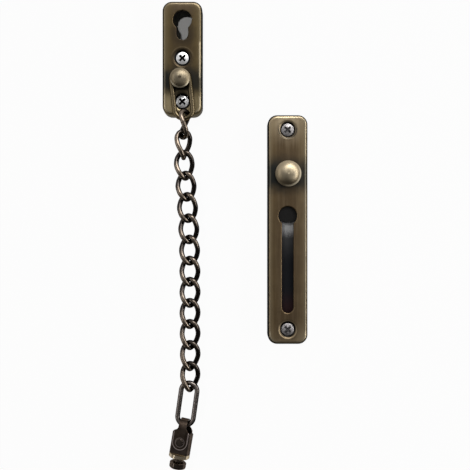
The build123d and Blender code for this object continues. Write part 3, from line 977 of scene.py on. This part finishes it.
# %% Zinc plating and dirt
def zinc_plating(name, colour, dull, roughness, grainy):
    """Colour = zinc with darker grains; the grains also make the bump."""
    material, tree, shader, place = new_material(name, 1.0, roughness)
    grains = smooth_step(tree, noise(tree, place, 1500.0, 3.0), 0.42, 0.62)
    tree.links.new(
        mix_colour(tree, times(tree, grains, grainy), colour, dull), shader.inputs["Base Color"]
    )
    bump(tree, shader, grains, 0.06 * MM, 0.4)
    return material


bright_zinc = zinc_plating("Bright zinc", (0.86, 0.86, 0.85), (0.55, 0.55, 0.54), 0.38, 0.35)
grey_zinc = zinc_plating("Grey zinc", (0.48, 0.46, 0.45), (0.13, 0.12, 0.12), 0.42, 0.85)
# Dirt and painted shade for the cross recesses, black and grey.
black_dirt_and_shade = zinc_plating(
    "Black recess, soiled and in painted shade", (0.02, 0.02, 0.02), (0.008, 0.008, 0.008), 0.6, 0.6
)
grey_dirt_and_shade = zinc_plating(
    "Grey recess, soiled and in painted shade", (0.22, 0.21, 0.21), (0.03, 0.03, 0.03), 0.6, 0.9
)
dress(bright_zinc, "frame_screw_upper", "frame_screw_lower")
dress(grey_zinc, "door_screw_upper", "door_screw_lower")

# %% [markdown]
# The screws' threads. The solids have a plain shank, and the real one has a
# rolled thread, which shows from behind. The shank is a grid: rings round the
# axis, one row after another along it, with a radius that rises into a ridge
# wherever the helix passes. That keeps the thread one closed skin, which a
# swept profile laid on the shank wouldn't be.

# %% Threaded shank
SHANK_START = -6.35 * MM
SHANK_PLAIN = 1.48 * MM
THREAD_CREST = 1.74 * MM
THREAD_ROOT = 1.15 * MM
THREAD_PITCH = 1.35 * MM
PLAIN_LENGTH = 2.5 * MM
POINT_LENGTH = 5.0 * MM
RIDGE_FOOT = 0.35
RIDGE_TOP = 0.95
ROWS_PER_PITCH = 12
THREAD_SIDES = 36


def threaded_shank(x, z, tip):
    """Radius = root + ridge height, with ridge = a triangle wave of
    (distance / pitch - angle / full turn), faded in at the start, and the whole
    radius shrunk to nothing over the point."""
    length = tip - SHANK_START
    rows = int(length / THREAD_PITCH * ROWS_PER_PITCH)
    along = np.linspace(0.0, length, rows)[:, None]
    angle = np.linspace(0.0, 2 * pi, THREAD_SIDES, endpoint=False)[None, :]
    phase = (along / THREAD_PITCH - angle / (2 * pi)) % 1.0
    wave = 1.0 - np.abs(2.0 * phase - 1.0)
    ridge = np.clip((wave - RIDGE_FOOT) / (RIDGE_TOP - RIDGE_FOOT), 0.0, 1.0)
    fade = np.clip((along - PLAIN_LENGTH) / THREAD_PITCH, 0.0, 1.0)
    core = SHANK_PLAIN + (THREAD_ROOT - SHANK_PLAIN) * fade
    radius = core + (THREAD_CREST - core) * ridge * fade
    radius = radius * np.sqrt(np.clip((length - along) / POINT_LENGTH, 0.0, 1.0))
    points = np.stack(
        [x + radius * np.cos(angle), SHANK_START + along + 0 * angle, z + radius * np.sin(angle)],
        axis=-1,
    )
    faces = grid_faces(rows, THREAD_SIDES, True)
    faces.append(list(range(THREAD_SIDES)))
    return points.reshape(-1, 3), faces


# %% [markdown]
# The head is a merged copy of the solid's head, because the solid already has
# the right dome and cross recess. The faces of the recess are then found by
# their place and their slant, and take the dirt and painted shade as a second
# material.

# %% Head of a screw
HEAD_RIM = -8.25 * MM
RECESS_RADIUS = 2.6 * MM
RECESS_FLOOR = -7.55 * MM
STEEPEST_DOME = -0.8


def screw_head(node):
    """Copy the solid's head: merge it, drop the shank, and close what is left."""
    shape = bmesh.new()
    shape.from_mesh(nodes[node].data)
    bmesh.ops.remove_doubles(shape, verts=shape.verts, dist=MERGE)
    limit = SHANK_START + 0.01 * MM
    behind = [vertex for vertex in shape.verts if vertex.co.y > limit]
    bmesh.ops.delete(shape, geom=behind, context="VERTS")
    bmesh.ops.holes_fill(shape, edges=shape.edges)
    points = np.array([vertex.co for vertex in shape.verts])
    faces = [[vertex.index for vertex in face.verts] for face in shape.faces]
    shape.free()
    return points, faces


def give_recess_dirt_and_shade(piece, x, z):
    """Give the recess its dirt and painted shade: the faces near the axis, in
    front of the recess's floor, and either steeper than the dome or behind the
    head's rim."""
    polygons = piece.data.polygons
    centres = np.empty(len(polygons) * 3)
    normals = np.empty(len(polygons) * 3)
    polygons.foreach_get("center", centres)
    polygons.foreach_get("normal", normals)
    centres, normals = centres.reshape(-1, 3), normals.reshape(-1, 3)
    radial = np.hypot(centres[:, 0] - x, centres[:, 2] - z)
    near = (radial < RECESS_RADIUS) & (centres[:, 1] < RECESS_FLOOR)
    sunk = near & ((normals[:, 1] > STEEPEST_DOME) | (centres[:, 1] > HEAD_RIM))
    polygons.foreach_set("material_index", sunk.astype(np.int32))
    print(piece.name, len(polygons), "faces,", int(sunk.sum()), "in the recess")


# %% [markdown]
# Each screw joins a copied head and a threaded shank. Both are closed, and they
# meet where the shank starts, so no seam has to be sewn between their unlike
# rings of points. The piece rides on the plates' body.

# %% Threaded screws
def dressed_screw(node, material, recess_dirt_and_shade):
    """Points = the head's, then the shank's; the shank's faces count on from
    the head's last point."""
    low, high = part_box(node)
    x, z = (low[0] + high[0]) / 2, (low[2] + high[2]) / 2
    head_points, head_faces = screw_head(node)
    shank_points, shank_faces = threaded_shank(x, z, high[1])
    moved = [[index + len(head_points) for index in face] for face in shank_faces]
    points = np.concatenate([head_points, shank_points])
    piece = make_piece(
        node + "_threaded", points, head_faces + moved, material, "plates", node
    )
    tidy_mesh(piece)
    piece.data.materials.append(recess_dirt_and_shade)
    give_recess_dirt_and_shade(piece, x, z)


for screw, zinc, recess_dirt_and_shade, slot in (
    ("frame_screw_upper", bright_zinc, black_dirt_and_shade, "bright_screw"),
    ("frame_screw_lower", bright_zinc, black_dirt_and_shade, "bright_screw"),
    ("door_screw_upper", grey_zinc, grey_dirt_and_shade, "grey_screw"),
    ("door_screw_lower", grey_zinc, grey_dirt_and_shade, "grey_screw"),
):
    dressed_screw(screw, zinc, recess_dirt_and_shade)

# %% [markdown]
# Behind the slot lies a blackened floor plate. Just under the stop pad it is
# painted near white as painted light, fading through a dim painted grey further
# down, and its foot keeps a purple heat tint. These zones follow the height, so
# each is a step in it, roughened by a fine noise. Only the front face gets the
# painted light.

# %% Blackened floor plate
PURPLE = (0.050, 0.020, 0.022)
BLACKENED = (0.018, 0.019, 0.023)
# Tones of the painted light under the pad: a dim grey and near white.
DIM_PAINTED_LIGHT = (0.10, 0.10, 0.10)
PAINTED_LIGHT_STEEL = (0.95, 0.95, 0.93)
BLACK_FROM = (50.0 * MM, 36.0 * MM)
DIM_PAINTED_LIGHT_FROM = (24.0 * MM, 4.0 * MM)
PAINTED_LIGHT_FROM = (9.0 * MM, 2.0 * MM)
FLOOR_WAVE = 6.0 * MM


def blackened_floor():
    """Height = z + noise. Each tone begins between two distances below the pad:
    purple at the foot, then black, a dim grey of painted light, and near white
    painted light at the top."""
    material, tree, shader, place = new_material("Blackened floor", 0.6, 0.45)
    parts = split(tree, place)
    pad_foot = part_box("stop_pad")[0][2]
    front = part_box("floor_plate")[0][1]
    grain = noise(tree, place, 2600.0, 3.0)
    rough = times(tree, math_node(tree, "SUBTRACT", grain, 0.5), FLOOR_WAVE)
    height = math_node(tree, "ADD", parts[2], rough)
    # Painted light: near white just under the pad, fading to a dim grey further down, on the
    # front face only.
    black, dim_painted_light, painted_light = (
        smooth_step(tree, height, pad_foot - far, pad_foot - near)
        for far, near in (BLACK_FROM, DIM_PAINTED_LIGHT_FROM, PAINTED_LIGHT_FROM)
    )
    facing = smooth_step(tree, parts[1], front + 0.4 * MM, front + 0.1 * MM)
    base = mix_colour(tree, black, PURPLE, BLACKENED)
    base = mix_colour(tree, times(tree, dim_painted_light, facing), base, DIM_PAINTED_LIGHT)
    base = mix_colour(tree, times(tree, painted_light, facing), base, PAINTED_LIGHT_STEEL)
    tree.links.new(base, shader.inputs["Base Color"])
    bump(tree, shader, grain, 0.05 * MM, 0.4)
    return material


dress(blackened_floor(), "floor_plate")

# %% [markdown]
# The stop pad is black and moulded, and the leaf spring is blued steel with a
# straight grain. Both show only through the keyhole and from behind, so they
# stay plain.

# %% Pad and spring steel
def black_pad():
    """A matt black with a fine moulded grain in its bump."""
    material, tree, shader, place = new_material("Black pad", 0.0, 0.6)
    shader.inputs["Specular IOR Level"].default_value = 0.15
    grain = noise(tree, place, 1800.0, 3.0)
    tone = mix_colour(tree, grain, (0.003, 0.003, 0.003), (0.014, 0.013, 0.012))
    tree.links.new(tone, shader.inputs["Base Color"])
    bump(tree, shader, grain, 0.1 * MM, 0.5)
    return material


def blued_spring():
    """A blue-grey steel with straight grain along the blade."""
    material, tree, shader, place = new_material("Blued spring steel", 1.0, 0.3)
    grain = use_group(tree, brushed_grain, place)
    tone = mix_colour(tree, grain["Streaks"], (0.14, 0.15, 0.18), (0.32, 0.32, 0.33))
    tree.links.new(tone, shader.inputs["Base Color"])
    bump(tree, shader, grain["Grain"], 0.02 * MM, 0.4)
    return material


spring_steel = blued_spring()
dress(black_pad(), "stop_pad")
dress(spring_steel, "leaf_spring")

# %% [markdown]
# The leaf spring bends when the knob is pressed. The solid stays flat, so a thin
# blade replaces it: an eye round the upper dish, and a strip of rows down to the
# round end. The rows lie close together along the strip.

# %% Outline of the leaf spring
EYE_INNER = 4.35 * MM
EYE_OUTER = 6.0 * MM
EYE_RINGS = 4
EYE_SEGMENTS = 72
BLADE_ROWS = 60
BLADE_COLUMNS = 13
BLADE_HALF_WIDTH = 4.5 * MM


def spring_outline():
    """Eye = a ring grid from inner to outer radius; blade = rows from the eye's
    lower arc to the round end, where the half width is a quarter circle's."""
    low, high = (np.array(corner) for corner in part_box("leaf_spring"))
    x, eye_z = (low[0] + high[0]) / 2, high[2] - EYE_OUTER
    half = BLADE_HALF_WIDTH
    half_angle = np.arcsin(half / EYE_OUTER)
    down = np.linspace(-half_angle, half_angle, BLADE_COLUMNS)
    rest = np.linspace(half_angle, 2 * pi - half_angle, EYE_SEGMENTS)[1:-1]
    turn = np.concatenate([down, rest])
    radius = np.linspace(EYE_INNER, EYE_OUTER, EYE_RINGS)[:, None]
    eye = np.stack([x + radius * np.sin(turn), eye_z - radius * np.cos(turn)], axis=-1)
    step = np.linspace(0.0, 1.0, BLADE_ROWS)[:, None]
    share = np.sin(down)[None, :] * EYE_OUTER / half
    start_z = eye_z - EYE_OUTER * np.cos(down)[None, :]
    tip_z = low[2] + half - half * np.sqrt(np.clip(1.0 - share**2, 0.0, 1.0))
    blade = np.stack(
        [x + share * half + 0 * step, start_z + (tip_z - start_z) * step], axis=-1
    )
    return eye, blade


# %% [markdown]
# The flat outline becomes a blade: its faces are joined where the eye meets the
# strip, and then pushed forward by the spring's thickness.

# %% Leaf spring blade
JOIN = 1e-6


def bending_spring():
    """Thicken the flat outline to the solid's depth, then smooth its shading."""
    low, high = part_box("leaf_spring")
    eye, blade = spring_outline()
    ring = grid_faces(*eye.shape[:2], True)
    strip = grid_faces(*blade.shape[:2], False)
    strip = [[index + eye.shape[0] * eye.shape[1] for index in face] for face in strip]
    flat = np.concatenate([eye.reshape(-1, 2), blade.reshape(-1, 2)])
    points = np.stack([flat[:, 0], np.full(len(flat), high[1]), flat[:, 1]], axis=-1)
    piece = make_piece(
        "leaf_spring_blade", points, ring + strip, spring_steel, None, "leaf_spring"
    )
    shape = bmesh.new()
    shape.from_mesh(piece.data)
    bmesh.ops.remove_doubles(shape, verts=shape.verts, dist=JOIN)
    bmesh.ops.recalc_face_normals(shape, faces=shape.faces)
    front = bmesh.ops.extrude_face_region(shape, geom=shape.faces[:])["geom"]
    moved = [item for item in front if isinstance(item, bmesh.types.BMVert)]
    bmesh.ops.translate(shape, verts=moved, vec=(0.0, low[1] - high[1], 0.0))
    shape.to_mesh(piece.data)
    shape.free()
    tidy_mesh(piece)
    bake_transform(piece)
    return piece


blade_piece = bending_spring()
print("leaf spring", len(blade_piece.data.polygons), "faces")

# %% [markdown]
# The wall. The plates are fixed to it, so it stands just behind their rims.
# It is a stage piece, lit as any white board. For the camera and for mirrors it
# is lifted to white, but in a disc behind the frame plate's keyhole, where it
# shows through the hole, it keeps the light and shade that really fall there.
# From behind it is clear, so that the backs of the plates can be seen.

# %% Material of the wall
KEYHOLE = (FRAME_CENTRE[0], PLATE_FRONT, FRAME_CENTRE[2] + 20.5 * MM)
KEYHOLE_PATCH = 10.3 * MM
WALL_WHITE = (0.80, 0.79, 0.77)
WALL_LIFT = 0.96


def wall_material():
    """From the front: diffuse, with a lift to white outside the disc behind the
    keyhole. From behind: clear."""
    material = bpy.data.materials.new("White wall")
    material.use_nodes = True
    tree = material.node_tree
    tree.nodes.clear()
    output = tree.nodes.new("ShaderNodeOutputMaterial")
    place = tree.nodes.new("ShaderNodeTexCoord").outputs["Object"]
    disc = disc_mask(tree, place, KEYHOLE, KEYHOLE_PATCH, KEYHOLE_PATCH * 1.02)
    path = tree.nodes.new("ShaderNodeLightPath").outputs
    seen = math_node(tree, "MAXIMUM", path["Is Camera Ray"], path["Is Glossy Ray"])
    lift = times(tree, times(tree, seen, inverse(tree, disc)), WALL_LIFT)
    diffuse = tree.nodes.new("ShaderNodeBsdfDiffuse")
    feed(tree, WALL_WHITE, diffuse.inputs["Color"])
    white = tree.nodes.new("ShaderNodeEmission").outputs[0]
    clear = tree.nodes.new("ShaderNodeBsdfTransparent").outputs[0]
    behind = tree.nodes.new("ShaderNodeNewGeometry").outputs["Backfacing"]
    front = mix_shaders(tree, lift, diffuse.outputs[0], white)
    tree.links.new(mix_shaders(tree, behind, front, clear), output.inputs["Surface"])
    return material


# %% [markdown]
# One square is enough for the wall. It is far larger than the picture, so that
# no edge of it shows.

# %% Wall
WALL_Y = 0.2 * MM
WALL_HALF = 600.0 * MM


def make_wall():
    """A square in the plane y = WALL_Y whose normal faces the front."""
    x, z = FRAME_CENTRE[0], DOOR_CENTRE[2]
    corners = np.array([(-1, -1), (1, -1), (1, 1), (-1, 1)]) * WALL_HALF
    points = [(x + a, WALL_Y, z + b) for a, b in corners.tolist()]
    mesh = bpy.data.meshes.new("wall")
    mesh.from_pydata(points, [], [(0, 1, 2, 3)])
    mesh.materials.append(wall_material())
    wall = bpy.data.objects.new("wall", mesh)
    bpy.context.scene.collection.objects.link(wall)
    print("wall at y =", WALL_Y)


make_wall()

# %% [markdown]
# The world is what metal mirrors. A room that is dark at the floor and pale at
# the ceiling gives the rolled edges and the wires their long dark and light
# lines. For matt surfaces it stays dim, so that the lamps alone light them, and
# the camera sees plain white past the wall.

# %% World
ROOM_LOW = (0.05, 0.05, 0.05)
ROOM_HIGH = (0.70, 0.70, 0.72)
DIM_GREY = (0.02, 0.02, 0.02)
WHITE = (1.0, 1.0, 1.0)
ROOM_FADE = (-0.8, 0.8)


def make_world():
    """Room tone = low to high by the direction's height; then the dim grey for
    diffuse rays, and white for camera rays."""
    world = bpy.data.worlds.new("Studio")
    bpy.context.scene.world = world
    world.use_nodes = True
    tree = world.node_tree
    tree.nodes.clear()
    output = tree.nodes.new("ShaderNodeOutputWorld")
    path = tree.nodes.new("ShaderNodeLightPath").outputs
    direction = split(tree, tree.nodes.new("ShaderNodeTexCoord").outputs["Generated"])
    height = smooth_step(tree, direction[2], *ROOM_FADE)
    lights = []
    for colour in (mix_colour(tree, height, ROOM_LOW, ROOM_HIGH), DIM_GREY, WHITE):
        light = tree.nodes.new("ShaderNodeBackground")
        feed(tree, colour, light.inputs["Color"])
        lights.append(light.outputs[0])
    room, dim, white = lights
    surfaces = mix_shaders(tree, path["Is Diffuse Ray"], room, dim)
    everything = mix_shaders(tree, path["Is Camera Ray"], surfaces, white)
    tree.links.new(everything, output.inputs["Surface"])
    print("world", world.name)


make_world()

# %% [markdown]
# Four lamps. A small hard key high in front on the left throws the keyhole's
# shape onto the wall and lights matt surfaces only, because its mirror image
# would be a glaring dot. A softbox at the upper right is seen in mirroring
# surfaces only, where it draws the long highlights down the chain and the rolled
# edges. A strip on the right and a faint one on the left edge the plates.

# %% Lamps
KEY_PLACE = (-0.33, -1.45, 0.205)
SOFTBOX_PLACE = (0.42, -0.85, 1.0)
RIGHT_PLACE = (0.9, -0.5, 0.0)
LEFT_PLACE = (-0.8, -0.5, 0.0)
MIDDLE_OF_ALL = (0.0295, 0.0, -0.087)
STRIP_SIZE = (0.15, 1.0)


def area_lamp(name, place, target, size, power, mirrored=True, matt=True):
    """A rectangular lamp at place, turned so that its -Z axis meets the target.
    A lamp that isn't mirrored lights matt surfaces only, and one that isn't
    matt is seen in mirroring surfaces only."""
    data = bpy.data.lights.new(name, "AREA")
    data.shape = "RECTANGLE"
    data.size, data.size_y = size
    data.energy = power
    lamp = bpy.data.objects.new(name, data)
    bpy.context.scene.collection.objects.link(lamp)
    lamp.location = place
    lamp.visible_glossy = mirrored
    lamp.visible_diffuse = matt
    aim = Vector(target) - Vector(place)
    lamp.rotation_euler = aim.to_track_quat("-Z", "Y").to_euler()
    print("lamp", name, power, "W")


area_lamp("Key", KEY_PLACE, KEYHOLE, (0.12, 0.12), 5.0, mirrored=False)
area_lamp("Softbox", SOFTBOX_PLACE, MIDDLE_OF_ALL, (1.1, 0.5), 14.0, matt=False)
area_lamp("Right strip", RIGHT_PLACE, MIDDLE_OF_ALL, STRIP_SIZE, 5.0)
area_lamp("Left strip", LEFT_PLACE, MIDDLE_OF_ALL, STRIP_SIZE, 1.3)

# %% [markdown]
# The camera looks straight at the wall from 400 mm in front of the plates'
# faces. At that distance the photo's 470 pixels are 263 mm, which gives the
# focal length. The place of the frame plate's centre in the photo, in pixels,
# gives the point that the camera looks at.

# %% Camera
PIXELS = 470
PIXEL = 0.56 * MM
PLATE_PIXEL = (182.25, 57.95)
CAMERA_DISTANCE = 400.0 * MM
SENSOR_WIDTH = 36.0
NEAREST = 10.0 * MM
AIM_X = FRAME_CENTRE[0] + (PIXELS / 2 - PLATE_PIXEL[0]) * PIXEL
AIM_Z = FRAME_CENTRE[2] + (PLATE_PIXEL[1] - PIXELS / 2) * PIXEL


def make_camera():
    """Focal length = sensor width x distance / width seen at that distance."""
    data = bpy.data.cameras.new("Camera")
    data.sensor_width = SENSOR_WIDTH
    data.lens = SENSOR_WIDTH * CAMERA_DISTANCE / (PIXELS * PIXEL)
    data.clip_start = NEAREST
    camera = bpy.data.objects.new("Camera", data)
    bpy.context.scene.collection.objects.link(camera)
    camera.location = (AIM_X, PLATE_FRONT - CAMERA_DISTANCE, AIM_Z)
    camera.rotation_euler = (pi / 2, 0, 0)
    bpy.context.scene.camera = camera
    print("focal length", round(data.lens, 2), "mm")


make_camera()
bpy.context.scene.view_settings.view_transform = "Standard"
